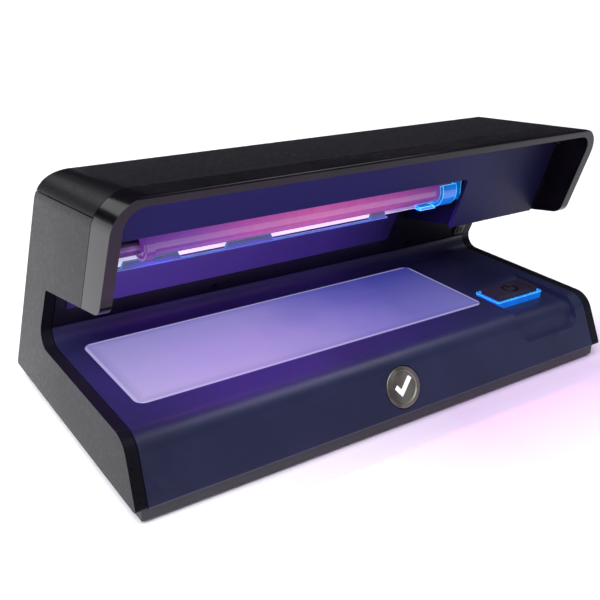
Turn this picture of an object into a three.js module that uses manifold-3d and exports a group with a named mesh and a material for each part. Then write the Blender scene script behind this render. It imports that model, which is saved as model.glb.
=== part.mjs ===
// Compact counterfeit bill detector: an ultraviolet tube under a hood, and a white-lit
// window in the deck. Millimetres, +Z up, +X to the right seen from the front, front at -Y.
// The origin is on the surface it stands on, at the centre of the bounding box.

import * as THREE from 'three';
import { mergeVertices } from 'three/addons/utils/BufferGeometryUtils.js';
import Module from 'manifold-3d';

const wasm = await Module();
wasm.setup();

// ---------------------------------------------------------------- driving dimensions
const WIDTH = 193.4;            // over both side panels, at DRAFT_Z
const DEPTH = 101;              // front toe to back toe
const HEIGHT = 88.1;            // top edge of the hood, at its front
const GAP = 0.3;                // clearance between separate pieces
const PANEL = 3.6;              // side panel thickness
const SKIN = 2.2;               // wall of the deck and the hood
const DRAFT = 3.2;              // degrees that each side leans in, above DRAFT_Z
const DRAFT_Z = 15;

const TOE_Z = 5.4;              // lower edge of the shell
const DECK_Z = 24;              // the surface that a banknote lies on
const FRONT_LEAN = 24.7;        // degrees from upright, base front face
const HOOD_LEAN = 18.1;         // hood front
const BAY_LEAN = 22.8;          // back wall of the document bay
const BACK_LEAN = 22;           // outer back
const TOP_FALL = 5.3;            // hood top, falling to the back
const ARM_FALL = 10.3;          // hood underside at its sides
const VISOR_LEAN = 17.4;        // slanted panel inside the hood

const FRONT_ROUND = 8;          // deck into front face
const BAY_ROUND = 5;            // deck into back wall
const BACK_ROUND = 11;          // hood top into back
const SIDE_ROUND = 10;          // hood top into sides
const HOOD_FRONT_Y = -38;       // hood's front edge, at HEIGHT
const BAY_BACK_Y = 25.2;        // back wall line where it would meet the deck
const ARM_BACK_Z = 45.6;        // hood underside where it meets the bay back
const PARTING = 7;              // from the hood top down to the side panels' upper edge
const BEZEL_DEPTH = 12;
const BEZEL_TOP = 2.9;          // height of the bezel's upper lip
const VISOR_BOTTOM = { y: -13.1, z: 50.4 };
const VISOR_THICK = 1.6;

const WINDOW = { x: -15.7, y: -5.9, width: 138.8, depth: 43.3, round: 3 };
const OPENING = { x0: -88, x1: 47.4, z: 70.2 };       // lamp opening in the visor
const TUBE = { y: -11, z: 65.6, radius: 4.2, x0: -75.8, x1: 43, wall: 0.7, round: 1.6 };
const LAMP_ENDS = [
  { name: 'left', side: -1, end: TUBE.x0, cap: 6.7, finish: 'black' },
  { name: 'right', side: 1, end: TUBE.x1, cap: 1.4, finish: 'clear' },
];
const PINS = { apart: 3, radius: 0.5 };               // a lamp cap's two contact pins
const REFLECTOR = { x0: -82.5, x1: 43.5, radius: 13, thick: 0.8 };
const GUARD = { x0: -80, x1: 24, y: -3.4, z: 55.4, thick: 0.8, height: 0.7, tab: 2.1 };
const LINER_SCREW = { places: [-32.7, 59], z: 31.2, radius: 0.9 };
const WALL_PLUG = { x: 87.6, z: 33, radius: 3 };
const INLET = { x: 70, z: 14, width: 9, height: 11, length: 13 };
const BUTTON = { x: 70.1, y: -25.4, width: 21.4, depth: 9.6, proud: 2 };
const SPRING = { turns: 4.5, coil: 2.9, wire: 0.3, steps: 14 };
const RING = { width: 24.6, depth: 12.2, proud: 0.4 };
const SCOOP = { x0: 56.9, x1: 87.3, back: -12.5, depth: 2.1, bottom: 14.3, round: 4 };
const BADGE = { x: -1, radius: 6.9, z: 13.8, thick: 1.3 };
const BOARD_Z = 6.6;            // underside of the boards in the base
const LED_COUNT = 6;
const CORNERS = ['front_left', 'front_right', 'back_left', 'back_right'];
const SCREW_PLACES = [[-88, -36], [88, -36], [-88, 40], [88, 40]];
const FOOT_PLACES = [[-78, -38], [78, -38], [-78, 40], [78, 40]];

const half = WIDTH / 2;
const inner = half - PANEL;     // inside face of a side panel
const reach = inner - GAP;      // ends of everything that fits between the side panels
const rad = THREE.MathUtils.degToRad;

// ---------------------------------------------------------------- outlines and solids

// A straight line of the side view: a point and a direction in degrees from +Y towards +Z.
function line(y, z, degrees) {
  return { y, z, dy: Math.cos(rad(degrees)), dz: Math.sin(rad(degrees)) };
}

// The same line moved to its left by a distance.
function shift(a, distance) {
  return { ...a, y: a.y - a.dz * distance, z: a.z + a.dy * distance };
}

// Where two lines cross, as an outline corner with a rounding radius.
function cross(a, b, round = 0) {
  const along = ((b.y - a.y) * b.dz - (b.z - a.z) * b.dy) / (a.dy * b.dz - a.dz * b.dy);
  return [a.y + a.dy * along, a.z + a.dz * along, round];
}

// A closed outline from corners [u, v, radius], with true arcs at the rounded ones.
function outline(corners) {
  const path = new THREE.Shape();
  corners.forEach(([u, v, radius = 0], index) => {
    const here = new THREE.Vector2(u, v);
    const before = corners[(index + corners.length - 1) % corners.length];
    const after = corners[(index + 1) % corners.length];
    const back = new THREE.Vector2(before[0], before[1]).sub(here).normalize();
    const ahead = new THREE.Vector2(after[0], after[1]).sub(here).normalize();
    const move = index === 0 ? 'moveTo' : 'lineTo';
    if (radius === 0) {
      path[move](u, v);
      return;
    }
    const halfAngle = Math.acos(THREE.MathUtils.clamp(back.dot(ahead), -1, 1)) / 2;
    const start = here.clone().addScaledVector(back, radius / Math.tan(halfAngle));
    const centre = here.clone().addScaledVector(
      back.clone().add(ahead).normalize(), radius / Math.sin(halfAngle));
    const end = here.clone().addScaledVector(ahead, radius / Math.tan(halfAngle));
    path[move](start.x, start.y);
    path.absarc(centre.x, centre.y, radius, start.clone().sub(centre).angle(),
      end.clone().sub(centre).angle(), back.cross(ahead) > 0);
  });
  path.closePath();
  return path;
}

function rectangle(u0, u1, v0, v1, round = 0) {
  return outline([[u0, v0, round], [u1, v0, round], [u1, v1, round], [u0, v1, round]]);
}

// Extrudes a shape and turns it, so that its u, v and depth follow three given axes.
function extrude(shape, depth, origin, axes, segments) {
  const geometry = new THREE.ExtrudeGeometry(
    shape, { depth, bevelEnabled: false, curveSegments: segments });
  const frame = new THREE.Matrix4().makeBasis(...axes.map((axis) => new THREE.Vector3(...axis)));
  frame.setPosition(...origin);
  return geometry.applyMatrix4(frame);
}

// A shape in (y, z), extruded from x0 to x1.
function alongX(shape, x0, x1, segments = 6) {
  return extrude(shape, x1 - x0, [x0, 0, 0], [[0, 1, 0], [0, 0, 1], [1, 0, 0]], segments);
}

// A shape in (x, y), extruded from z0 to z1.
function alongZ(shape, z0, z1, segments = 6) {
  return extrude(shape, z1 - z0, [0, 0, z0], [[1, 0, 0], [0, 1, 0], [0, 0, 1]], segments);
}

// A shape in (x, z), extruded from y0 to y1.
function alongY(shape, y0, y1, segments = 6) {
  return extrude(shape, y1 - y0, [0, y1, 0], [[1, 0, 0], [0, 0, 1], [0, -1, 0]], segments);
}

function block(x0, x1, y0, y1, z0, z1) {
  return new THREE.BoxGeometry(x1 - x0, y1 - y0, z1 - z0)
    .translate((x0 + x1) / 2, (y0 + y1) / 2, (z0 + z1) / 2);
}

// A cylinder along X or Z.
function rodX(radius, x0, x1, y, z, sides = 24) {
  return new THREE.CylinderGeometry(radius, radius, x1 - x0, sides)
    .rotateZ(Math.PI / 2).translate((x0 + x1) / 2, y, z);
}

function rodZ(radius, z0, z1, x, y, sides = 20) {
  return new THREE.CylinderGeometry(radius, radius, z1 - z0, sides)
    .rotateX(Math.PI / 2).translate(x, y, (z0 + z1) / 2);
}

// A closed geometry as a solid for cutting and joining; a solid stays as it is.
function toSolid(shape) {
  if (!shape.isBufferGeometry) {
    return shape;
  }
  const plain = shape.clone();
  plain.deleteAttribute('normal');
  plain.deleteAttribute('uv');
  const merged = mergeVertices(plain, 1e-4);
  merged.setIndex(dropFlat(merged.index.array));
  return new wasm.Manifold(new wasm.Mesh({
    numProp: 3,
    vertProperties: new Float32Array(merged.attributes.position.array),
    triVerts: new Uint32Array(merged.index.array),
  }));
}

function fromSolid(solid) {
  const mesh = solid.getMesh();
  const geometry = new THREE.BufferGeometry();
  geometry.setAttribute('position', new THREE.BufferAttribute(mesh.vertProperties, 3));
  geometry.setIndex(new THREE.BufferAttribute(mesh.triVerts, 1));
  return geometry;
}

// Leaves out the triangles that merging made flat, with two corners in one place.
function dropFlat(index) {
  const kept = [];
  for (let at = 0; at < index.length; at += 3) {
    const [a, b, c] = index.slice(at, at + 3);
    if (a !== b && b !== c && c !== a) {
      kept.push(a, b, c);
    }
  }
  return kept;
}

// Adds and cuts closed shapes, and gives a solid.
function carve(first, { add = [], cut = [] }) {
  let result = toSolid(first);
  for (const shape of add) {
    result = result.add(toSolid(shape));
  }
  for (const shape of cut) {
    result = result.subtract(toSolid(shape));
  }
  return result;
}

// What all the shapes share, as a solid.
function common(first, ...others) {
  return others.reduce((solid, other) => solid.intersect(toSolid(other)), toSolid(first));
}

// Draws a shape in towards the middle with height, so that the sides lean in.
function drafted(shape) {
  const slope = Math.tan(rad(DRAFT)) / half;
  return toSolid(shape).warp((vertex) => {
    vertex[0] *= 1 - slope * (vertex[2] - DRAFT_Z);
  });
}

// ---------------------------------------------------------------- materials and nodes
const paint = (color, roughness, metalness = 0, extra = {}) => (
  { color, roughness, metalness, ...extra });
const glow = (color, strength) => ({ emissive: color, emissiveIntensity: strength });
const FINISH = {
  shell: paint('#35363c', 0.55),
  deck: paint('#23243a', 0.5),
  liner: paint('#121019', 0.35),
  bezel: paint('#08080c', 0.08),
  visor: paint('#2b2862', 0.45),
  violet: paint('#3f2a8c', 0.4),
  strip: paint('#3a3a42', 0.6),
  tube: paint('#c45aa0', 0.2, 0, glow('#b04aa0', 1)),
  metal: paint('#b9bcc2', 0.3, 0.9),
  white: paint('#f0eef6', 0.4),
  clear: paint('#2a8fe0', 0.15, 0, glow('#18b8e8', 0.8)),
  guard: paint('#2a4aa0', 0.2, 0, glow('#1a3aa0', 0.3)),
  window: paint('#a8a0d8', 0.4, 0, glow('#7a70c0', 0.4)),
  board: paint('#1f5a34', 0.5),
  black: paint('#15151a', 0.5),
  rubber: paint('#101012', 0.9),
  badge: paint('#57564e', 0.35, 0.5),
  copper: paint('#b0623a', 0.4, 0.6),
};

const detector = new THREE.Group();

function node(name, shape, finish) {
  const geometry = shape.isBufferGeometry ? shape : fromSolid(shape);
  const mesh = new THREE.Mesh(geometry, new THREE.MeshStandardMaterial(FINISH[finish]));
  mesh.name = name;
  detector.add(mesh);
  return mesh;
}

// ---------------------------------------------------------------- lines of the side view
const toe = line(0, TOE_Z, 0);
const baseFront = line(-DEPTH / 2, TOE_Z, 90 - FRONT_LEAN);
const deck = line(0, DECK_Z, 0);
const bayBack = line(BAY_BACK_Y, DECK_Z, 90 + BAY_LEAN);
const bayUpright = line(
  BAY_BACK_Y + BAY_ROUND * (1 - 1 / Math.tan(rad(90 - BAY_LEAN) / 2)), DECK_Z, 90);
const seam = line(0, DECK_Z + BAY_ROUND + 0.1, 0);   // deck moulding ends, wall liner begins
const armUnder = line(cross(bayBack, line(0, ARM_BACK_Z, 0))[0], ARM_BACK_Z, 180 - ARM_FALL);
const hoodFront = line(HOOD_FRONT_Y, HEIGHT, 90 + HOOD_LEAN);
const bezelBack = { ...hoodFront, y: HOOD_FRONT_Y + BEZEL_DEPTH };
const hoodTop = line(HOOD_FRONT_Y, HEIGHT, -TOP_FALL);
const back = line(DEPTH / 2, TOE_Z, 90 + BACK_LEAN);
const parting = shift(hoodTop, -PARTING);         // side panels end, hood cover begins
const behindBezel = { ...bezelBack, y: bezelBack.y + GAP };
const visorFace = line(VISOR_BOTTOM.y, VISOR_BOTTOM.z, 90 + VISOR_LEAN);
const hoodFloor = line(VISOR_BOTTOM.y, VISOR_BOTTOM.z, 180 - ARM_FALL);

// A straight channel along the hood top, under it by a distance, with rounded upper corners.
function hoodChannel(width, below, round, rearward, forward) {
  const fall = rad(TOP_FALL);
  const shape = outline([
    [-width, -100, 0], [width, -100, 0], [width, -below, round], [-width, -below, round],
  ]);
  return extrude(
    shape, rearward + forward,
    [0, HOOD_FRONT_Y + rearward * Math.cos(fall), HEIGHT - rearward * Math.sin(fall)],
    [[1, 0, 0], [0, Math.sin(fall), Math.cos(fall)], [0, -Math.cos(fall), Math.sin(fall)]], 8);
}

// Everything inside the hood's rounded top edges, drawn in by an inset.
function hoodEnvelope(inset) {
  return hoodChannel(half - inset, inset, SIDE_ROUND - inset, 110, 20);
}

// ---------------------------------------------------------------- shells
function sidePanel(x0, x1) {
  const below = shift(parting, -GAP);
  const slab = alongX(outline([
    cross(toe, baseFront, 0.8),
    cross(baseFront, deck, FRONT_ROUND),
    cross(deck, bayBack, BAY_ROUND),
    cross(bayBack, armUnder, 1.5),
    cross(armUnder, behindBezel),
    cross(behindBezel, below),
    cross(below, back),
    cross(back, toe, 0.8),
  ]), x0, x1, 6);
  return drafted(common(slab, hoodEnvelope(0)));
}

node('left_side_panel', sidePanel(-half, -inner), 'shell');
node('right_side_panel', sidePanel(inner, half), 'shell');

function hoodCover() {
  const backInside = shift(back, SKIN);
  const topInside = shift(hoodTop, -SKIN);
  const wrap = common(
    hoodEnvelope(0),
    alongX(outline([
      cross(behindBezel, parting),
      cross(parting, back),
      cross(back, hoodTop, BACK_ROUND),
      cross(hoodTop, behindBezel),
    ]), -half, half, 8));
  const hollow = common(
    hoodEnvelope(SKIN),
    alongX(outline([
      cross(shift(bezelBack, 5), shift(parting, -5)),
      cross(shift(parting, -5), backInside),
      cross(backInside, topInside, BACK_ROUND - SKIN),
      cross(topInside, shift(bezelBack, 5)),
    ]), -half, half, 8));
  const backSkin = alongX(outline([
    cross(toe, back, 1),
    cross(shift(parting, 0.6), back),
    cross(shift(parting, 0.6), backInside),
    cross(toe, backInside),
  ]), -reach, reach);
  const shell = carve(carve(wrap, { cut: [hollow] }), { add: [backSkin] });
  return carve(drafted(shell), { cut: [inletHole()] });
}

// The power socket stands square to the leaning back skin.
function placeOnBack(geometry, x, z) {
  const y = cross(back, line(0, z, 0))[0];
  return geometry.rotateX(rad(BACK_LEAN)).translate(x, y, z);
}

function inletHole() {
  const width = INLET.width + 2 * GAP;
  const height = INLET.height + 2 * GAP;
  return placeOnBack(new THREE.BoxGeometry(width, 12, height), INLET.x, INLET.z);
}

node('hood_cover', hoodCover(), 'shell');

function frontBezel() {
  const body = common(
    hoodEnvelope(0),
    alongX(outline([
      cross(armUnder, bezelBack),
      cross(bezelBack, hoodTop),
      cross(hoodTop, hoodFront, 0.8),
      cross(hoodFront, armUnder, 5),
    ]), -half, half, 6));
  const mouth = hoodChannel(inner, BEZEL_TOP, 6, 30, 30);
  return drafted(carve(body, { cut: [mouth] }));
}

node('front_bezel', frontBezel(), 'bezel');

// Slanted panel with the lamp opening, between the hood's underside and its top skin.
function visorPanel() {
  const behind = shift(visorFace, -VISOR_THICK);
  const ceiling = shift(hoodTop, -SKIN - GAP);
  const slab = alongX(outline([
    cross(hoodFloor, visorFace),
    cross(hoodFloor, behind),
    cross(behind, ceiling),
    cross(visorFace, ceiling),
  ]), -reach, reach);
  const { x0, x1, z } = OPENING;
  const opening = alongY(outline([
    [x0, 40, 0], [x1, 40, 0], [x1, z, 1.5], [x0, z, 1.5],
  ]), -40, 10);
  return carve(drafted(common(slab, hoodEnvelope(SKIN + GAP))), { cut: [opening] });
}

node('visor_panel', visorPanel(), 'visor');

// Deck, rounded edge and front face in one moulding, with the finger scoop at the button.
function documentDeck() {
  const frontIn = shift(baseFront, -SKIN);
  const deckIn = shift(deck, -SKIN);
  const bayIn = shift(bayUpright, -SKIN);
  const moulding = alongX(outline([
    cross(toe, baseFront, 0.6),
    cross(baseFront, deck, FRONT_ROUND),
    cross(deck, bayUpright, BAY_ROUND),
    cross(bayUpright, seam),
    cross(bayIn, seam),
    cross(deckIn, bayIn, BAY_ROUND + SKIN),
    cross(frontIn, deckIn, FRONT_ROUND - SKIN),
    cross(toe, frontIn),
  ]), -reach, reach, 8);
  return carve(drafted(moulding), {
    add: [scoopBacking()],
    cut: [windowHole(GAP), fingerScoop(), ringHole(), badgePocket()],
  });
}

function windowHole(grow) {
  const { x, y, width, depth, round } = WINDOW;
  const u = width / 2 + grow;
  const v = depth / 2 + grow;
  return alongZ(rectangle(x - u, x + u, y - v, y + v, round + grow), DECK_Z - 4, DECK_Z + 4, 4);
}

function fingerScoop() {
  const floor = shift(deck, -SCOOP.depth);
  const face = shift(baseFront, -SCOOP.depth);
  const ramp = line(SCOOP.back, DECK_Z, 30);
  const low = line(0, SCOOP.bottom, 0);
  const lifted = shift(deck, 3);
  const region = alongX(outline([
    cross(low, face),
    cross(low, line(-DEPTH, SCOOP.bottom, 90)),
    cross(line(-DEPTH, 0, 90), lifted),
    cross(lifted, ramp),
    cross(ramp, floor, 1),
    cross(floor, face, FRONT_ROUND - SCOOP.depth),
  ]), SCOOP.x0, SCOOP.x1, 6);
  const seenFromFront = alongY(outline([
    [SCOOP.x0, SCOOP.bottom, SCOOP.round], [SCOOP.x1, SCOOP.bottom, SCOOP.round],
    [SCOOP.x1, DECK_Z + 9, 0], [SCOOP.x0, DECK_Z + 9, 0],
  ]), -DEPTH, 0);
  return common(region, seenFromFront);
}

// Thicker wall behind the scoop.
function scoopBacking() {
  const deckNear = shift(deck, -SKIN / 2);
  const deckFar = shift(deck, -SKIN - SCOOP.depth);
  const faceNear = shift(baseFront, -SKIN / 2);
  const faceFar = shift(baseFront, -SKIN - SCOOP.depth);
  const low = line(0, SCOOP.bottom - SKIN, 0);
  const rear = line(SCOOP.back + SKIN, DECK_Z, 90);
  return alongX(outline([
    cross(low, faceNear),
    cross(faceNear, deckNear, FRONT_ROUND - SKIN / 2),
    cross(deckNear, rear),
    cross(deckFar, rear),
    cross(faceFar, deckFar, FRONT_ROUND - SKIN - SCOOP.depth),
    cross(low, faceFar),
  ]), SCOOP.x0 - GAP, SCOOP.x1 + SKIN, 6);
}

function roundedBlock(x, y, width, depth, round, z0, z1) {
  return alongZ(rectangle(
    x - width / 2, x + width / 2, y - depth / 2, y + depth / 2, round), z0, z1, 4);
}

function ringHole() {
  const width = RING.width + 2 * GAP;
  const depth = RING.depth + 2 * GAP;
  return roundedBlock(BUTTON.x, BUTTON.y, width, depth, 1.6, DECK_Z - 5, DECK_Z + 5);
}

// A disc standing on the front face: its outer side is a distance above the face.
function onFrontFace(radius, thick, above, sides = 40) {
  const y = cross(baseFront, line(0, BADGE.z, 0))[0];
  return new THREE.CylinderGeometry(radius, radius, thick, sides)
    .translate(0, thick / 2 - above, 0)
    .rotateX(-rad(FRONT_LEAN))
    .translate(BADGE.x, y, BADGE.z);
}

function badgePocket() {
  return onFrontFace(BADGE.radius + GAP, 8, 8 - BADGE.thick);
}

node('document_deck', documentDeck(), 'deck');

// Inner back wall of the document bay, continuing up behind the lamp.
function backWallLiner() {
  const bottom = shift(seam, GAP);
  const top = line(0, 78, 0);
  const behind = shift(bayBack, -SKIN);
  const wall = alongX(outline([
    cross(bottom, bayBack), cross(bottom, behind), cross(behind, top), cross(bayBack, top),
  ]), -reach, reach);
  const { places, z, radius } = LINER_SCREW;
  const holes = places.map((x) => onBayBack(x, z, radius + GAP, 6));
  const plugHole = onBayBack(WALL_PLUG.x, WALL_PLUG.z, WALL_PLUG.radius + GAP, 6, 28);
  return carve(drafted(wall), { cut: [...holes, plugHole] });
}

// A disc centred on the bay's back wall, square to it.
function onBayBack(x, z, radius, length, sides = 16) {
  const y = cross(bayBack, line(0, z, 0))[0];
  return new THREE.CylinderGeometry(radius, radius, length, sides)
    .rotateX(rad(BAY_LEAN)).translate(x, y, z);
}

// Round plug in the wall, with two slots in its face.
function wallPlug() {
  const { x, z, radius } = WALL_PLUG;
  const y = cross(bayBack, line(0, z, 0))[0];
  const slots = [-1, 1].map((side) => new THREE.BoxGeometry(0.6, 1.2, 2.4)
    .translate(side, -0.8, 0).rotateX(rad(BAY_LEAN)).translate(x, y, z));
  return carve(onBayBack(x, z, radius, 1.6, 28), { cut: slots });
}

node('back_wall_liner', backWallLiner(), 'liner');
['left', 'right'].forEach((name, index) => {
  const { places, z, radius } = LINER_SCREW;
  node(`liner_screw_${name}`, onBayBack(places[index], z, radius, 1.2), 'metal');
});
node('wall_plug', wallPlug(), 'black');

// Thin lighter sheet on the upper part of the back wall.
function rearReflector() {
  const front = shift(bayBack, GAP + 0.7);
  const behind = shift(bayBack, GAP);
  const bottom = line(0, 36.5, 0);
  const top = line(0, 76, 0);
  return alongX(outline([
    cross(bottom, front), cross(bottom, behind), cross(behind, top), cross(front, top),
  ]), -88, 45);
}

node('rear_reflector', rearReflector(), 'violet');

// Floor and end wall that close the right end of the hood round the ballast.
function ballastCover() {
  const panelBack = shift(visorFace, -VISOR_THICK - GAP);
  const wall = shift(bayBack, GAP);
  const floorTop = shift(hoodFloor, -SKIN);
  const top = line(0, 78.5, 0);
  const x0 = 52;
  const endWall = alongX(outline([
    cross(hoodFloor, panelBack), cross(hoodFloor, wall), cross(wall, top), cross(panelBack, top),
  ]), x0, x0 + 1.6);
  const bottom = alongX(outline([
    cross(hoodFloor, panelBack), cross(hoodFloor, wall),
    cross(floorTop, wall), cross(floorTop, panelBack),
  ]), x0, reach);
  return drafted(carve(endWall, { add: [bottom] }));
}

node('ballast_cover', ballastCover(), 'visor');

function bottomCover() {
  const set = 1.7;
  const tray = block(-half + set, half - set, -DEPTH / 2 + set, DEPTH / 2 - set, 1.3, TOE_Z - GAP);
  const wall = 2;
  const hollow = block(
    -half + set + wall, half - set - wall,
    -DEPTH / 2 + set + wall, DEPTH / 2 - set - wall, 3.3, TOE_Z + 2);
  const posts = SCREW_PLACES.map(([x, y]) => rodZ(3.2, 2.5, 9, x, y));
  const bores = SCREW_PLACES.map(([x, y]) => rodZ(1.5 + GAP, 0, 12, x, y, 16));
  const heads = SCREW_PLACES.map(([x, y]) => rodZ(2.6 + GAP, 0, 2.6, x, y, 16));
  return carve(carve(tray, { cut: [hollow] }), { add: posts, cut: [...bores, ...heads] });
}

node('bottom_cover', bottomCover(), 'strip');
CORNERS.forEach((corner, index) => {
  const [x, y] = FOOT_PLACES[index];
  node(`foot_${corner}`, rodZ(5, 0, 1.3 - 0.02, x, y, 28), 'rubber');
  const [sx, sy] = SCREW_PLACES[index];
  const screw = carve(rodZ(2.6, 1.5, 2.3, sx, sy, 16), { add: [rodZ(1.5, 2, 10.5, sx, sy, 12)] });
  node(`bottom_screw_${corner}`, screw, 'metal');
});

// ---------------------------------------------------------------- lamp
// A glass tube, rounded at its closed left end.
function tubeBody() {
  const { radius, x0, x1, wall, round } = TUBE;
  const length = x1 - x0;
  const profile = [new THREE.Vector2(0, 0)];
  for (let step = 0; step <= 4; step += 1) {
    const angle = (step / 4) * Math.PI / 2;
    profile.push(new THREE.Vector2(
      radius - round + round * Math.sin(angle), round - round * Math.cos(angle)));
  }
  profile.push(new THREE.Vector2(radius, length), new THREE.Vector2(radius - wall, length));
  profile.push(new THREE.Vector2(radius - wall, wall + round), new THREE.Vector2(0, wall + round));
  return new THREE.LatheGeometry(profile, 28)
    .rotateZ(-Math.PI / 2).translate(x0, TUBE.y, TUBE.z);
}

node('lamp_tube', tubeBody(), 'tube');

// A ring that grips the tube near its left end.
function lampCollar() {
  const [x0, x1] = [TUBE.x0 + 0.6, TUBE.x0 + 3.4];
  const bore = rodX(TUBE.radius + GAP, x0 - 1, x1 + 1, TUBE.y, TUBE.z, 28);
  return carve(rodX(TUBE.radius + 1, x0, x1, TUBE.y, TUBE.z, 28), { cut: [bore] });
}

node('lamp_collar', lampCollar(), 'tube');

// A rod along X between two ends given in either order.
function rodBetween(radius, a, b, z, sides) {
  return rodX(radius, Math.min(a, b), Math.max(a, b), TUBE.y, z, sides);
}

// An end cap: a plug with two contact pins that reach into the holder.
function lampCap({ side, end, cap }) {
  const inside = end + side * GAP;
  const outside = inside + side * cap;
  const pins = [-1, 1].map((pin) => rodBetween(
    PINS.radius, outside - side, outside + side * 3, TUBE.z + pin * PINS.apart / 2, 10));
  return carve(rodBetween(3, inside, outside, TUBE.z, 24), { add: pins });
}

function lampHolder({ side, end, cap }) {
  const near = end + side * (2 * GAP + cap);
  const far = near + side * 4.4;
  const body = alongX(outline([
    [TUBE.y - 3, TUBE.z - 4.6, 1.5], [TUBE.y + 5, TUBE.z - 4.6, 2],
    [TUBE.y + 5, TUBE.z + 12, 1], [TUBE.y - 3, TUBE.z + 12, 1],
  ]), Math.min(near, far), Math.max(near, far), 4);
  const sockets = [-1, 1].map((pin) => rodBetween(
    PINS.radius + GAP, near - side, near + side * 3.6, TUBE.z + pin * PINS.apart / 2, 10));
  return carve(body, { cut: sockets });
}

for (const lampEnd of LAMP_ENDS) {
  node(`lamp_cap_${lampEnd.name}`, lampCap(lampEnd), 'metal');
  node(`lamp_holder_${lampEnd.name}`, lampHolder(lampEnd), lampEnd.finish);
}

// A clear clip: a U under the tube's right end, with a foot towards the middle.
function lampClip() {
  const [x0, x1] = [38, 44.5];
  const bore = TUBE.radius + GAP;
  const outer = bore + 1.5;
  const sweep = [rad(150), rad(345)];
  const ring = new THREE.Shape();
  ring.absarc(TUBE.y, TUBE.z, outer, sweep[0], sweep[1], false);
  ring.absarc(TUBE.y, TUBE.z, bore, sweep[1], sweep[0], true);
  ring.closePath();
  const low = TUBE.z - outer;
  const foot = block(x0 - 6, x0 + 1, TUBE.y - 1.5, TUBE.y + 1.5, low - 0.5, low + 0.8);
  return carve(alongX(ring, x0, x1, 20), { add: [foot] });
}

node('lamp_clip', lampClip(), 'clear');

// White trough over and behind the tube.
function lampReflector() {
  const { x0, x1, radius, thick } = REFLECTOR;
  const sweep = [rad(-47), rad(100)];
  const trough = new THREE.Shape();
  trough.absarc(TUBE.y, TUBE.z, radius, sweep[0], sweep[1], false);
  trough.absarc(TUBE.y, TUBE.z, radius - thick, sweep[1], sweep[0], true);
  trough.closePath();
  return alongX(trough, x0, x1, 14);
}

node('lamp_reflector', lampReflector(), 'white');

// Notched clear strip in front of the trough's lower edge, hooked at its right end.
function lampGuard() {
  const { x0, x1, y, z, thick, height, tab } = GUARD;
  const top = z + height;
  const tabs = [[-78.4, -58.6, tab], [-43.1, -24.9, tab], [15.7, 23.1, 2 * tab]];
  const shape = new THREE.Shape();
  shape.moveTo(x0, z);
  shape.lineTo(x1, z);
  shape.lineTo(x1, top);
  for (const [left, right, rise] of [...tabs].reverse()) {
    shape.lineTo(right, top);
    shape.lineTo(right - 1, top + rise);
    shape.lineTo(left + 1, top + rise);
    shape.lineTo(left, top);
  }
  shape.lineTo(x0, top);
  shape.closePath();
  return alongY(shape, y - thick, y);
}

node('lamp_guard', lampGuard(), 'guard');

// ---------------------------------------------------------------- watermark window and light
function watermarkWindow() {
  const { x, y, width, depth, round } = WINDOW;
  const flange = roundedBlock(
    x, y, width + 5, depth + 4, round, DECK_Z - SKIN - GAP - 1, DECK_Z - SKIN - GAP);
  const pane = roundedBlock(x, y, width, depth, round, DECK_Z - SKIN - GAP - 0.5, DECK_Z);
  return carve(flange, { add: [pane] });
}

node('watermark_window', watermarkWindow(), 'window');
node('diffuser_sheet', block(
  WINDOW.x - 70, WINDOW.x + 70, WINDOW.y - 22, WINDOW.y + 22, 18.8, 19.6), 'white');
node('led_board', block(
  WINDOW.x - 66, WINDOW.x + 66, WINDOW.y - 14, WINDOW.y + 14, BOARD_Z, BOARD_Z + 1.6), 'board');
for (let index = 0; index < LED_COUNT; index += 1) {
  const x = WINDOW.x + (index - (LED_COUNT - 1) / 2) * 22;
  const base = BOARD_Z + 1.6 + GAP;
  node(`led_${index + 1}`, block(
    x - 1.8, x + 1.8, WINDOW.y - 1.5, WINDOW.y + 1.5, base, base + 1.2), 'white');
}

// ---------------------------------------------------------------- power button
const ringTop = DECK_Z + RING.proud;
const capTop = DECK_Z + BUTTON.proud;
const capBottom = DECK_Z - 3.4;
const boardTop = BOARD_Z + 1.6;
const switchTop = boardTop + GAP + 6;

function lightRing() {
  const frame = roundedBlock(
    BUTTON.x, BUTTON.y, RING.width, RING.depth, 1.3, DECK_Z - 3.6, ringTop);
  const hole = roundedBlock(
    BUTTON.x, BUTTON.y, BUTTON.width + 2 * GAP, BUTTON.depth + 2 * GAP, 1,
    DECK_Z - 9, ringTop + 5);
  return carve(frame, { cut: [hole] });
}

function buttonCap() {
  const body = roundedBlock(
    BUTTON.x, BUTTON.y, BUTTON.width, BUTTON.depth, 0.8, capBottom, capTop);
  return carve(body, { cut: [powerSymbol(GAP, 2)] });
}

// Broken ring and bar, set into the cap and joined by a bridge under its surface.
function powerSymbol(grow, thick) {
  const radius = 2.8;
  const wide = 0.42 + grow / 2;
  const gapAngle = rad(32);
  const ring = new THREE.Shape();
  const [from, to] = [Math.PI / 2 + gapAngle, Math.PI / 2 - gapAngle + 2 * Math.PI];
  ring.absarc(0, 0, radius + wide, from, to, false);
  ring.absarc(0, 0, radius - wide, to, from, true);
  ring.closePath();
  const low = capTop - 0.5 - (grow > 0 ? GAP : 0);
  const arc = alongZ(ring, low, low + thick, 24).translate(BUTTON.x, BUTTON.y, 0);
  const bar = block(-wide, wide, 0, radius + wide, low, low + thick);
  const bridge = block(-wide, wide, -radius, 0.1, low, capTop - 0.3 + grow / 3);
  return carve(arc, {
    add: [bar, bridge].map((shape) => shape.translate(BUTTON.x, BUTTON.y, 0)),
  });
}

function switchBody() {
  const body = block(
    BUTTON.x - 6, BUTTON.x + 6, BUTTON.y - 6, BUTTON.y + 6, boardTop + GAP, switchTop);
  return carve(body, { cut: [rodZ(1.6 + GAP, switchTop - 4, switchTop + 1, BUTTON.x, BUTTON.y)] });
}

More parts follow.
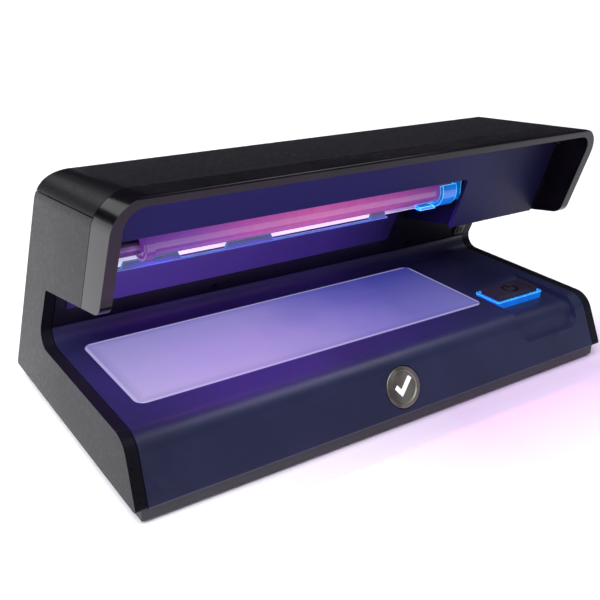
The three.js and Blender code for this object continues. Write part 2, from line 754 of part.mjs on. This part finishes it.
// A compression spring: its wire follows a helix between the switch and the cap.
function buttonSpring() {
  const { turns, coil, wire, steps } = SPRING;
  const bottom = switchTop + GAP + wire;
  const height = capBottom - GAP - wire - bottom;
  const points = [];
  for (let step = 0; step <= turns * steps; step += 1) {
    const angle = (step / steps) * 2 * Math.PI;
    points.push(new THREE.Vector3(
      BUTTON.x + coil * Math.cos(angle), BUTTON.y + coil * Math.sin(angle),
      bottom + height * step / (turns * steps)));
  }
  return wireAlong(points, wire, points.length - 1);
}

function wireAlong(points, radius, steps, sides = 4) {
  const section = new THREE.Shape();
  section.absarc(0, 0, radius, 0, 2 * Math.PI, false);
  return new THREE.ExtrudeGeometry(section, {
    steps, curveSegments: sides, bevelEnabled: false,
    extrudePath: new THREE.CatmullRomCurve3(points),
  });
}

node('button_light_ring', lightRing(), 'clear');
node('power_button_cap', buttonCap(), 'black');
node('power_symbol', powerSymbol(0, 0.5), 'strip');
node('switch_plunger', rodZ(
  1.6, switchTop - 2.2, capBottom - GAP, BUTTON.x, BUTTON.y), 'white');
node('switch_body', switchBody(), 'black');
node('button_spring', buttonSpring(), 'metal');

// ---------------------------------------------------------------- boards and parts
node('main_board', block(57.5, 83, -36, 30, BOARD_Z, boardTop), 'board');
node('transformer', block(64, 78, 2, 16, boardTop + GAP, boardTop + 10), 'copper');
node('capacitor', rodZ(4, boardTop + GAP, boardTop + 11, 71, 23.5), 'black');
node('button_led', rodZ(1.5, boardTop + GAP, boardTop + 4, 60.2, BUTTON.y, 16), 'white');

const ballastZ = 58;
node('ballast_board', block(54, 90, -8, 3.5, ballastZ, ballastZ + 1.6), 'board');
node('ballast_transformer', block(
  66, 80, -7.5, 1.5, ballastZ + 1.6 + GAP, ballastZ + 12), 'copper');

function powerInlet() {
  const { width, height, length, x, z } = INLET;
  const body = new THREE.BoxGeometry(width, length, height).translate(0, -length / 2 + 0.3, 0);
  const bore = new THREE.CylinderGeometry(3.15, 3.15, length - 2, 28)
    .translate(0, -length / 2 + 2.5, 0.8);
  return carve(placeOnBack(body, x, z), { cut: [placeOnBack(bore, x, z)] });
}

function inletPin() {
  const pin = new THREE.CylinderGeometry(1, 1, 7, 16).translate(0, -5.6, 0.8);
  return placeOnBack(pin, INLET.x, INLET.z);
}

node('power_inlet', powerInlet(), 'black');
node('inlet_pin', inletPin(), 'metal');

// ---------------------------------------------------------------- wiring
function lead(name, route, radius = 0.8) {
  const points = route.map(([x, y, z]) => new THREE.Vector3(x, y, z));
  node(name, wireAlong(points, radius, 5 * route.length), 'black');
}

lead('lamp_lead_right', [
  [86, 26, 10], [86, 31, 18], [86, 29, 32], [86, 22, 46], [80, 16, 60], [66, 12, 74],
]);
lead('lamp_lead_left', [
  [52, 12.5, 76], [20, 13, 75.5], [-30, 13, 75.5], [-70, 13, 75.5], [-87, 12, 74],
]);
lead('led_lead', [[51.5, -6, 9.4], [54, -5, 11], [56, -3, 11.2], [58.8, -2, 9.6]]);
lead('supply_lead', [[70, 31.4, 10], [68, 33, 8.6], [66, 32, 7.6]]);

// ---------------------------------------------------------------- badge
function badgeDisc() {
  const disc = onFrontFace(BADGE.radius, BADGE.thick - GAP + 0.2, 0.2);
  return carve(disc, { cut: [onFrontFace(BADGE.radius - 1.5, 3, 2.7, 36)] });
}

// A plain tick, standing in the disc's recess.
function badgeEmblem() {
  const tick = outline([
    [-3.6, 0.1, 0], [-1.2, -2.9, 0], [3.8, 2.2, 0], [2.7, 3.3, 0], [-1.1, -0.6, 0], [-2.5, 1.2, 0],
  ]);
  const y = cross(baseFront, line(0, BADGE.z, 0))[0];
  return alongY(tick, -0.2, 0.0).rotateX(-rad(FRONT_LEAN)).translate(BADGE.x, y, BADGE.z);
}

node('badge_disc', badgeDisc(), 'badge');
node('badge_emblem', badgeEmblem(), 'white');

export default detector;
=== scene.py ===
"""Looks of a counterfeit bill detector: an ultraviolet lamp under a hood, a lit window in the deck.

Everything is in metres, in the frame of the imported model: +X to the right seen from the front,
front at -Y, +Z up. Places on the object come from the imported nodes' boxes.
"""

import math

import bpy
from mathutils import Matrix, Vector


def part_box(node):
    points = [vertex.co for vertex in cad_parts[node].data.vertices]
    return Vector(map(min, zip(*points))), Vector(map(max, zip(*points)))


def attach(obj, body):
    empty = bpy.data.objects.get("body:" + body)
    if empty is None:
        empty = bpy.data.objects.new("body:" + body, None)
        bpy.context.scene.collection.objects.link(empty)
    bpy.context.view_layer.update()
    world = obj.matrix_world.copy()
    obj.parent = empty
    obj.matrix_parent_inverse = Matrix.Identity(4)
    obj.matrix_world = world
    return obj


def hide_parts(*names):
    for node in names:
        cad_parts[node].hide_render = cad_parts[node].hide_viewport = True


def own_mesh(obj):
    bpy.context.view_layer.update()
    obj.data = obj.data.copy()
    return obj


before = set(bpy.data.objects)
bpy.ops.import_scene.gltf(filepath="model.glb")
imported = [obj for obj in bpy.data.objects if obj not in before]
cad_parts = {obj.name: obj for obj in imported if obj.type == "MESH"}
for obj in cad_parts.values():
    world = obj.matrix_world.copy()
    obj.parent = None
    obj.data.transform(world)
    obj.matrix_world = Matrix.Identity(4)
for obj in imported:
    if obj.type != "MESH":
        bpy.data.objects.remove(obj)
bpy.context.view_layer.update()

MM = 0.001
GRAIN = 2300.0                          # moulded grain, features to the metre


def mm(x, y, z):
    """A place given in millimetres, as a vector in metres."""
    return Vector((x * MM, y * MM, z * MM))


def srgb(code):
    """A linear colour with alpha, from an sRGB hex code."""
    channels = [int(code[i:i + 2], 16) / 255 for i in (0, 2, 4)]
    return [c / 12.92 if c <= 0.04045 else ((c + 0.055) / 1.055) ** 2.4 for c in channels] + [1.0]


# ------------------------------------------------------------------ camera
FRAME_SIDE = 600                        # width and height of the picture
FOCAL = 826.5                           # focal length, in the same unit
SENSOR = 36
YAW, PITCH, ROLL = 35.242, 23.719, 1.804
EYE = mm(-165.4, -219.3, 147.3)
NEAR, FAR = 0.01, 20


def make_camera():
    """A level look to the right and down by YAW and PITCH, then turned by ROLL."""
    yaw, pitch, roll = (math.radians(a) for a in (YAW, PITCH, ROLL))
    forward = Vector((math.sin(yaw) * math.cos(pitch), math.cos(yaw) * math.cos(pitch),
                      -math.sin(pitch)))
    level = Vector((math.cos(yaw), -math.sin(yaw), 0))
    upward = level.cross(forward)
    right = level * math.cos(roll) + upward * math.sin(roll)
    up = upward * math.cos(roll) - level * math.sin(roll)
    data = bpy.data.cameras.new("camera")
    data.sensor_width = SENSOR
    data.lens = SENSOR * FOCAL / FRAME_SIDE
    data.clip_start, data.clip_end = NEAR, FAR
    camera = bpy.data.objects.new("camera", data)
    bpy.context.scene.collection.objects.link(camera)
    turn = Matrix((right, up, -forward)).transposed().to_4x4()
    camera.matrix_world = Matrix.Translation(EYE) @ turn
    bpy.context.scene.camera = camera


make_camera()
bpy.context.scene.view_settings.view_transform = "Standard"


# ------------------------------------------------------------------ material graphs
class Graph:
    """A material under construction: adds shader nodes and joins them."""

    def __init__(self, name):
        self.material = bpy.data.materials.new(name)
        self.material.use_nodes = True
        self.tree = self.material.node_tree
        self.shader = self.tree.nodes["Principled BSDF"]
        self.place = None

    def add(self, kind, inputs=None, **settings):
        made = self.tree.nodes.new("ShaderNode" + kind)
        for key, value in settings.items():
            setattr(made, key, value)
        for key, value in (inputs or {}).items():
            self.put(made.inputs[key], value)
        return made

    def put(self, socket, value):
        if isinstance(value, bpy.types.NodeSocket):
            self.tree.links.new(value, socket)
        else:
            socket.default_value = value

    def set(self, **values):
        """Puts values on the surface shader; a key's underscores stand for spaces."""
        for key, value in values.items():
            self.put(self.shader.inputs[key.replace("_", " ")], value)

    def point(self):
        """The surface point in metres, in the object's own frame."""
        if self.place is None:
            self.place = self.add("TexCoord").outputs["Object"]
        return self.place

    def noise(self, scale, detail=2.0, roughness=0.5, stretch=None):
        at = self.point()
        if stretch is not None:
            at = self.add("Mapping", {"Vector": at, "Scale": stretch}).outputs["Vector"]
        return self.add("TexNoise", {
            "Vector": at, "Scale": scale, "Detail": detail, "Roughness": roughness,
        }).outputs["Fac"]

    def range(self, value, low, high, to_low=0.0, to_high=1.0):
        """Spreads low to high over to_low to to_high, and holds the ends beyond."""
        return self.add("MapRange", {
            "Value": value, "From Min": low, "From Max": high, "To Min": to_low, "To Max": to_high,
        }).outputs["Result"]

    def math(self, operation, a, b=0.0):
        return self.add("Math", {0: a, 1: b}, operation=operation).outputs[0]

    def product(self, first, *others):
        for other in others:
            first = self.math("MULTIPLY", first, other)
        return first

    def plateau(self, value, start, full, fade, end):
        """1 from full to fade, falling to 0 at start and at end."""
        return self.product(self.range(value, start, full), self.range(value, fade, end, 1.0, 0.0))

    def mix(self, share, a, b):
        made = self.add("Mix", data_type="RGBA")
        self.put(made.inputs["Factor"], share)
        self.put(made.inputs[6], a)
        self.put(made.inputs[7], b)
        return made.outputs[2]

    def ramp(self, value, stops):
        made = self.add("ValToRGB", {"Fac": value})
        elements = made.color_ramp.elements
        while len(elements) < len(stops):
            elements.new(0.5)
        for element, (position, color) in zip(elements, stops):
            element.position = position
            element.color = color
        return made.outputs["Color"]

    def axis(self, name):
        return self.add("SeparateXYZ", {"Vector": self.point()}).outputs[name]

    def bump(self, height, distance, strength=1.0):
        return self.add("Bump", {
            "Height": height, "Distance": distance, "Strength": strength,
        }).outputs["Normal"]

    def edges(self, radius, low=0.02, high=0.22):
        """How near a point is to an outside edge: 0 on a face, 1 on the edge."""
        rounded = self.add("Bevel", {"Radius": radius}, samples=4).outputs["Normal"]
        true = self.add("NewGeometry").outputs["Normal"]
        agree = self.add("VectorMath", {0: rounded, 1: true}, operation="DOT_PRODUCT")
        return self.range(agree.outputs["Value"], 1 - low, 1 - high)


def moulded(name, color, light, roughness, grain=1.0, edge_wear_and_highlight=0.5, gloss=0.5):
    """Moulded plastic: fine grain, soft mottling, faint dust, and edges rubbed lighter, which at
    full strength also paints a highlight along the edges.
    """
    g = Graph(name)
    cloud = g.noise(28, 4)
    spark = g.noise(GRAIN, 3, 0.6)
    dust = g.noise(650, 2, 0.7)
    body = g.mix(g.range(cloud, 0.35, 0.65, 0.0, 0.5), srgb(color), srgb(light))
    worn_and_highlit_edge = g.product(g.edges(0.4 * MM), g.range(g.noise(140, 4), 0.4, 0.62, 0.1, 1.0))
    body = g.mix(g.product(worn_and_highlit_edge, edge_wear_and_highlight), body, srgb(light))
    rough = g.math("ADD", roughness, g.range(dust, 0.3, 0.7, -0.05, 0.05))
    rough = g.math("ADD", rough, g.range(cloud, 0.3, 0.7, -0.02, 0.03))
    g.set(Base_Color=body, Roughness=g.math("SUBTRACT", rough, g.product(worn_and_highlit_edge, 0.1)),
          Normal=g.bump(spark, 0.05 * MM * grain, 0.35), IOR=1.49, Specular_IOR_Level=gloss)
    return g.material


def piano_black():
    """Polished black moulding: hairline marks, a little orange peel, faint reddish clouds, painted
    highlights along its edges.
    """
    g = Graph("bezel_gloss")
    hair = g.noise(900, 3, 0.7, (1.0, 0.04, 0.3))
    cloud = g.noise(40, 3)
    body = g.mix(g.range(cloud, 0.4, 0.7), srgb("050508"), srgb("120c14"))
    # Painted highlight: the edges painted a lighter grey.
    body = g.mix(g.product(g.edges(0.3 * MM), 0.35), body, srgb("3c3a44"))
    g.set(Base_Color=body, Roughness=g.range(hair, 0.4, 0.7, 0.12, 0.2),
          Normal=g.bump(g.noise(260, 1), 0.015 * MM, 0.2), Coat_Weight=0.1,
          Coat_Roughness=0.05, IOR=1.5, Specular_IOR_Level=0.19)
    return g.material


def steel(name, color, dark, roughness=0.3):
    """Plated metal with brushed streaks and dull spots."""
    g = Graph(name)
    streak = g.noise(700, 4, 0.6, (1.0, 0.08, 1.0))
    spot = g.noise(180, 3)
    body = g.mix(g.range(spot, 0.4, 0.65), srgb(color), srgb(dark))
    rough = g.math("ADD", roughness, g.range(streak, 0.3, 0.7, -0.08, 0.14))
    g.set(Base_Color=body, Metallic=1.0, Roughness=rough, Normal=g.bump(streak, 0.02 * MM, 0.4))
    return g.material


def lamp_glass():
    """Lit tube: pink in the middle, purple towards its ends, lightly frosted."""
    g = Graph("tube_glow")
    low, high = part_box("lamp_tube")
    along = g.range(g.axis("X"), low[0], high[0])
    tint = g.ramp(along, [
        (0.0, srgb("5f3088")), (0.12, srgb("74429a")), (0.3, srgb("a8509e")),
        (0.52, srgb("be5a9f")), (0.78, srgb("a04c98")), (1.0, srgb("54307e")),
    ])
    frost = g.noise(500, 2)
    g.set(Base_Color=srgb("3a1840"), Emission_Color=tint,
          Emission_Strength=g.range(frost, 0.3, 0.7, 0.88, 1.0), Roughness=0.18,
          Normal=g.bump(frost, 0.02 * MM, 0.3), Coat_Weight=0.6, Coat_Roughness=0.06)
    return g.material


def lit_acrylic(name, deep, bright, strength, edge_highlight_strength):
    """Clear plastic with a painted glow for the light it carries: deep colour inside, painted
    highlights along its edges.
    """
    g = Graph(name)
    # Painted highlight: the glow is stronger and lighter in colour along the edges.
    edge = g.edges(0.6 * MM, 0.01, 0.2)
    cloud = g.range(g.noise(220, 3), 0.35, 0.65, 0.75, 1.1)
    tint = g.mix(edge, srgb(deep), srgb(bright))
    power = g.product(g.range(edge, 0.0, 1.0, strength, edge_highlight_strength), cloud)
    g.set(Base_Color=srgb(deep), Emission_Color=tint, Emission_Strength=power,
          Roughness=g.range(cloud, 0.75, 1.1, 0.1, 0.2), Coat_Weight=0.5, Coat_Roughness=0.05,
          Normal=g.bump(g.noise(300, 2), 0.03 * MM, 0.3))
    return g.material


WINDOW_FLANGE = (2.5 * MM, 2.0 * MM)    # the pane's hidden border under the deck, in X and Y
WINDOW_HIGHLIGHT_RIM = (1.0 * MM, 0.6 * MM)       # the painted highlight rim starts and is full this far inside it, and so does the painted shade band that the rim borders
WINDOW_SHADE = (4.0 * MM, 1.0 * MM)     # and so does the darker band that the rim borders


def opal_window():
    """Opal pane lit from below, its light painted as a glow: lavender at the left, blue at the
    right, a painted highlight rim.
    """
    g = Graph("window_glow")
    low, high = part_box("watermark_window")
    across = g.range(g.axis("X"), low[0], high[0])
    deep = g.range(g.axis("Y"), low[1], high[1])
    cloud = g.range(g.noise(30, 3), 0.3, 0.7, -0.06, 0.06)
    near = g.ramp(g.math("ADD", across, cloud), [
        (0.0, srgb("bcb0d8")), (0.35, srgb("ab9ccc")), (0.6, srgb("8880c2")),
        (0.8, srgb("706fb8")), (1.0, srgb("7472b6")),
    ])
    far = g.ramp(g.math("ADD", across, cloud), [
        (0.0, srgb("8b89c4")), (0.35, srgb("857fc2")), (0.6, srgb("5c5cae")),
        (0.8, srgb("2e3690")), (1.0, srgb("283088")),
    ])
    sides = []
    for axis, flange in enumerate(WINDOW_FLANGE):
        middle, half = (high[axis] + low[axis]) / 2, (high[axis] - low[axis]) / 2 - flange
        sides.append((g.math("ABSOLUTE", g.math("SUBTRACT", g.axis("XY"[axis]), middle)), half))
    rim, shade = (
        g.math("MAXIMUM", *(g.range(off, half - start, half - full) for off, half in sides))
        for start, full in (WINDOW_HIGHLIGHT_RIM, WINDOW_SHADE)
    )
    tint = g.mix(deep, near, far)
    # Painted shade: a darker band inside the rim.
    tint = g.mix(g.product(shade, 0.22), tint, srgb("3a3a80"))
    # Painted highlight: a light rim along the opening's edge.
    tint = g.mix(g.product(rim, 0.45), tint, srgb("d0cbf4"))
    g.set(Base_Color=srgb("1c1a2a"), Emission_Color=tint, Emission_Strength=0.95,
          Roughness=g.range(g.noise(700, 2), 0.3, 0.7, 0.16, 0.26), Coat_Weight=0.3,
          Coat_Roughness=0.08, Normal=g.bump(g.noise(1200, 2), 0.01 * MM, 0.3))
    return g.material


def visor_plastic():
    """Satin indigo moulding with the lamp's light painted in: bluer at the lamp's end of the hood
    than at the other, painted highlights along its edges.
    """
    g = Graph("visor_plastic")
    low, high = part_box("visor_panel")
    across = g.range(g.axis("X"), low[0], high[0])
    # Painted light: the lamp's blue light as a bluer tone at the lamp's end, greyer away from it.
    body = g.ramp(g.math("ADD", across, g.range(g.noise(20, 3), 0.3, 0.7, -0.05, 0.05)), [
        (0.0, srgb("1c1c5a")), (0.45, srgb("1c1a58")), (0.75, srgb("1a1c48")),
        (1.0, srgb("12122a")),
    ])
    # Painted highlight: the edges painted a lighter indigo.
    body = g.mix(g.product(g.edges(0.3 * MM), 0.3), body, srgb("4a48a0"))
    g.set(Base_Color=body, Roughness=g.range(g.noise(650, 2, 0.7), 0.3, 0.7, 0.38, 0.48),
          Normal=g.bump(g.noise(GRAIN, 3, 0.6), 0.03 * MM, 0.3), Specular_IOR_Level=0.12)
    return g.material


SHEET_START = 9 * MM                    # the sheet's glow grows over this length at its left end,
SHEET_END = 34 * MM                     # fades over this length at its right end,
SHEET_FOOT = 16 * MM                    # and is weaker in this lowest part


def violet_sheet():
    """Satin sheet behind the lamp with the lamp's light painted on as a glow: brightest by the
    lamp, fading down and to the right.
    """
    g = Graph("reflector_sheet")
    low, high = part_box("rear_reflector")
    x = g.axis("X")
    # Painted light: the lamp's glow on the sheet, with painted shade lower down and to the right.
    across = g.product(g.range(x, low[0], high[0], 1.0, 0.35),
                       g.range(x, low[0], low[0] + SHEET_START, 0.1, 1.0),
                       g.range(x, high[0] - SHEET_END, high[0], 1.0, 0.02))
    up = g.range(g.axis("Z"), low[2], low[2] + SHEET_FOOT, 0.75, 1.0)
    cloud = g.range(g.noise(35, 3), 0.3, 0.7, 0.9, 1.1)
    g.set(Base_Color=srgb("1c1240"), Emission_Color=srgb("4a2c96"),
          Emission_Strength=g.product(across, up, cloud, 0.7),
          Roughness=g.range(g.noise(600, 2), 0.3, 0.7, 0.3, 0.42),
          Normal=g.bump(g.noise(900, 2), 0.01 * MM, 0.2))
    return g.material


TROUGH_LIP = (1.2 * MM, 4.5 * MM)       # the lip's glow fades between these heights above its foot,
TROUGH_END = (24 * MM, 16 * MM)         # and between these distances from its right end


def lit_trough():
    """White lamp trough: the tube's light on its lower lip is painted on as a glow, up to the clip.
    """
    g = Graph("trough_white")
    low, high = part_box("lamp_reflector")
    # Painted light: the glow on the lower lip, fading upward and towards the right end.
    lip = g.range(g.axis("Z"), low[2] + TROUGH_LIP[0], low[2] + TROUGH_LIP[1], 0.85, 0.1)
    end = g.range(g.axis("X"), high[0] - TROUGH_END[0], high[0] - TROUGH_END[1], 1.0, 0.1)
    cloud = g.range(g.noise(120, 2), 0.3, 0.7, 0.85, 1.1)
    g.set(Base_Color=srgb("e4e0f2"), Emission_Color=srgb("dcd6f2"),
          Emission_Strength=g.product(lip, end, cloud),
          Roughness=g.range(cloud, 0.85, 1.1, 0.25, 0.4))
    return g.material


def circuit_board():
    """Solder mask over copper traces: a fine blocky pattern."""
    g = Graph("board_green")
    cells = g.add("TexBrick", {"Vector": g.point(), "Scale": 220.0, "Mortar Size": 0.03})
    body = g.mix(cells.outputs["Fac"], srgb("0f3a20"), srgb("2a6a40"))
    g.set(Base_Color=body, Roughness=g.range(g.noise(400, 3), 0.3, 0.7, 0.3, 0.5),
          Normal=g.bump(cells.outputs["Fac"], 0.05 * MM, 0.5))
    return g.material


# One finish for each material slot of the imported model.
MATERIALS = {
    "shell": moulded("shell_plastic", "0a0a0e", "14141a", 0.31, grain=0.3, edge_wear_and_highlight=0.7, gloss=0.115),
    "deck": moulded("deck_plastic", "13172c", "1d223e", 0.34, grain=0.3, edge_wear_and_highlight=0.6, gloss=0.4),
    "liner": moulded("liner_plastic", "09070e", "110e1a", 0.36, grain=0.12),
    "bezel": piano_black(),
    "visor": visor_plastic(),
    "violet": violet_sheet(),
    "strip": moulded("strip_plastic", "1e1e23", "2c2c33", 0.5, grain=1.2),
    "tube": lamp_glass(),
    "cap": steel("cap_metal", "8a6a9a", "5a3f70", 0.32),
    "metal": steel("plated_steel", "9a9ca4", "6a6c74", 0.3),
    "black": moulded("black_plastic", "0c0c10", "1a1a20", 0.42),
    # Painted highlight: full edge lightening here paints a light edge on the button cap.
    "button": moulded("button_plastic", "0e0c14", "322e3e", 0.3, grain=0.4, edge_wear_and_highlight=1.0, gloss=0.35),
    "symbol": moulded("symbol_ink", "060608", "101014", 0.22, grain=0.4),
    # The clip and the guard get a painted glow with painted edge highlights.
    "clear": lit_acrylic("clip_glow", "0a66c0", "62e0fa", 0.65, 1.6),
    "guard": lit_acrylic("guard_glow", "162060", "4ac8e8", 0.3, 0.9),
    "white": moulded("white_plastic", "d8d6e0", "f0eff6", 0.4, grain=0.6),
    "window": opal_window(),
    "board": circuit_board(),
    "rubber": moulded("foot_rubber", "0a0a0a", "1c1c1c", 0.8, grain=3.0),
    "badge": steel("badge_metal", "8a897e", "66655b", 0.4),
    "emblem": moulded("emblem_lacquer", "dedee4", "f6f6fa", 0.3, grain=0.4),
    "copper": moulded("winding", "7a3c20", "b0623a", 0.4, grain=2.5),
    "wire": moulded("wire_sleeve", "0e0d10", "1e1c22", 0.5, grain=0.8),
}
# Nodes whose finish differs from the rest of their slot.
OWN_FINISH = {
    "lamp_reflector": lit_trough(),
    # The button's ring gets a painted glow with painted edge highlights.
    "button_light_ring": lit_acrylic("ring_glow", "0a5cbc", "70e8fc", 0.6, 1.9),
    "ballast_cover": moulded("ballast_plastic", "0e0e26", "18183c", 0.42, grain=0.3, edge_wear_and_highlight=0.4,
                             gloss=0.15),
    "liner_screw_left": steel("dark_screw", "34343c", "202028", 0.4),
    "liner_screw_right": steel("dark_screw_pair", "34343c", "202028", 0.4),
}
for node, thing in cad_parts.items():
    for held in thing.material_slots:
        held.material = OWN_FINISH.get(node) or MATERIALS[held.material.name.split(".")[0]]


# ------------------------------------------------------------------ softened edges
WELD_GAP = 0.004 * MM
FLAT_TURN = math.radians(0.6)           # faces that turn less than this become one
EDGE_TURN = math.radians(30)            # edges that turn more than this are rounded
NORMAL_WEIGHT = 60
SOFT_EDGES = {                          # width of the rounding in millimetres
    "left_side_panel": 0.45, "right_side_panel": 0.45, "hood_cover": 0.4, "front_bezel": 0.35,
    "document_deck": 0.3, "visor_panel": 0.25, "bottom_cover": 0.4, "power_button_cap": 0.35,
    "button_light_ring": 0.25, "watermark_window": 0.2, "power_inlet": 0.25, "lamp_guard": 0.15,
    "ballast_cover": 0.25, "wall_plug": 0.2, "lamp_clip": 0.25, "badge_disc": 0.2,
}


def soften(node, width):
    """Rounds a moulding's outside edges by a fraction of a millimetre, with smooth shading."""
    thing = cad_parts[node]
    if "custom_normal" in thing.data.attributes:
        thing.data.attributes.remove(thing.data.attributes["custom_normal"])
    thing.data.polygons.foreach_set("use_smooth", [True] * len(thing.data.polygons))
    weld = thing.modifiers.new("weld", "WELD")
    weld.merge_threshold = WELD_GAP
    flat = thing.modifiers.new("flat", "DECIMATE")
    flat.decimate_type = "DISSOLVE"
    flat.angle_limit = FLAT_TURN
    bevel = thing.modifiers.new("bevel", "BEVEL")
    bevel.width = width * MM
    bevel.segments = 2
    bevel.limit_method = "ANGLE"
    bevel.angle_limit = EDGE_TURN
    bevel.use_clamp_overlap = True
    bevel.harden_normals = False
    even = thing.modifiers.new("even", "WEIGHTED_NORMAL")
    even.keep_sharp = True
    even.weight = NORMAL_WEIGHT


for node, width in SOFT_EDGES.items():
    soften(node, width)


# ------------------------------------------------------------------ button spring
def shortening_spring():
    """The coil under the button: a copy of the imported spring, held by the housing."""
    coil = bpy.data.objects.new("button_coil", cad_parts["button_spring"].data.copy())
    bpy.context.scene.collection.objects.link(coil)
    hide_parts("button_spring")
    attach(coil, "housing")
    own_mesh(coil)


shortening_spring()


# ------------------------------------------------------------------ stage
FLOOR_REACH = 6.0
VIOLET_SHADE_X = (-0.11, 0.02, 0.09, 0.16)      # where the painted, lamp-tinted shade lies on the floor: start, full, fade, end
VIOLET_SHADE_Y = (-0.125, -0.055, -0.03, 0.0)


def stage_floor():
    """A pale floor with painted shade, tinted violet by the lamp, in front of the object's right
    half.
    """
    mesh = bpy.data.meshes.new("floor")
    ends = ((-1, -1), (1, -1), (1, 1), (-1, 1))
    mesh.from_pydata([(x * FLOOR_REACH, y * FLOOR_REACH, 0) for x, y in ends], [], [(0, 1, 2, 3)])
    floor = bpy.data.objects.new("floor", mesh)
    bpy.context.scene.collection.objects.link(floor)
    g = Graph("floor_white")
    near = g.product(g.plateau(g.axis("X"), *VIOLET_SHADE_X), g.plateau(g.axis("Y"), *VIOLET_SHADE_Y))
    # Painted shadow: the floor darker and violet in front of the object.
    tint = g.mix(near, srgb("f2f2f5"), srgb("c0aecb"))
    g.set(Base_Color=tint, Roughness=g.range(g.noise(90, 2), 0.3, 0.7, 0.5, 0.6))
    mesh.materials.append(g.material)


def aim(lamp, place, target):
    """Puts a lamp at a place, shining towards the target."""
    bpy.context.scene.collection.objects.link(lamp)
    lamp.location = place
    lamp.rotation_mode = "QUATERNION"
    lamp.rotation_quaternion = (Vector(target) - Vector(place)).to_track_quat("-Z", "Y")
    return lamp


def area_light(name, place, target, width, height, power, color=(1, 1, 1)):
    data = bpy.data.lights.new(name, "AREA")
    data.energy = power
    data.color = color
    data.shape = "RECTANGLE"
    data.size = width
    data.size_y = height
    return aim(bpy.data.objects.new(name, data), place, target)


def sun_light(name, place, power, spread):
    data = bpy.data.lights.new(name, "SUN")
    data.energy = power
    data.angle = math.radians(spread)
    return aim(bpy.data.objects.new(name, data), place, (0, 0, 0))


ROOM_COLOR = (0.8, 0.74, 1.0, 1)
ROOM_FADE = {"From Min": -0.7, "From Max": 0.5, "To Min": 0.22, "To Max": 0.02}


def studio_world():
    """A dim, slightly violet room that darkens behind the object, seen as a white backdrop."""
    world = bpy.data.worlds.new("studio")
    bpy.context.scene.world = world
    world.use_nodes = True
    tree = world.node_tree
    room = tree.nodes["Background"]
    room.inputs["Color"].default_value = ROOM_COLOR
    facing = tree.nodes.new("ShaderNodeSeparateXYZ")
    tree.links.new(tree.nodes.new("ShaderNodeTexCoord").outputs["Generated"], facing.inputs[0])
    fade = tree.nodes.new("ShaderNodeMapRange")
    for socket, value in ROOM_FADE.items():
        fade.inputs[socket].default_value = value
    tree.links.new(facing.outputs["Y"], fade.inputs["Value"])
    tree.links.new(fade.outputs["Result"], room.inputs["Strength"])
    backdrop = tree.nodes.new("ShaderNodeBackground")
    backdrop.inputs["Color"].default_value = (1, 1, 1, 1)
    seen = tree.nodes.new("ShaderNodeLightPath").outputs["Is Camera Ray"]
    choice = tree.nodes.new("ShaderNodeMixShader")
    tree.links.new(seen, choice.inputs["Fac"])
    tree.links.new(room.outputs[0], choice.inputs[1])
    tree.links.new(backdrop.outputs[0], choice.inputs[2])
    tree.links.new(choice.outputs[0], tree.nodes["World Output"].inputs["Surface"])


stage_floor()
studio_world()
sun_light("key_light", mm(-500, -420, 900), power=5.0, spread=50)
area_light("top_softbox", mm(380, -160, 700), mm(0, 0, 30), 0.4, 0.25, power=1.2)
area_light("back_softbox", mm(-350, 600, 450), mm(0, 30, 40), 0.5, 0.5, power=0.9)
area_light("left_softbox", mm(-620, 40, 200), mm(0, 0, 50), 0.6, 0.35, power=0.42)

# The tube's own violet light, in two thin strips just under it: one along its whole length that
# shines down, and a short one that brightens the left of the deck.
STRIP_DROP = 1.5 * MM
STRIP_WIDTH = 4 * MM
tube_low, tube_high = (Vector(corner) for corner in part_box("lamp_tube"))
tube_mid = (tube_low + tube_high) / 2
under = Vector((tube_mid.x, tube_mid.y, tube_low.z - STRIP_DROP))
lamp_down = area_light("lamp_down", under, (under.x, under.y - 20 * MM, 0),
                       tube_high.x - tube_low.x, STRIP_WIDTH, power=0.11, color=(0.75, 0.13, 1.0))
lamp_wash = area_light("lamp_wash", (tube_low.x + 22 * MM, under.y, under.z),
                       (tube_low.x + 18 * MM, under.y - 24 * MM, 24 * MM),
                       30 * MM, STRIP_WIDTH, power=0.055, color=(0.8, 0.12, 1.0))
for strip in (lamp_down, lamp_wash):
    strip.visible_glossy = False
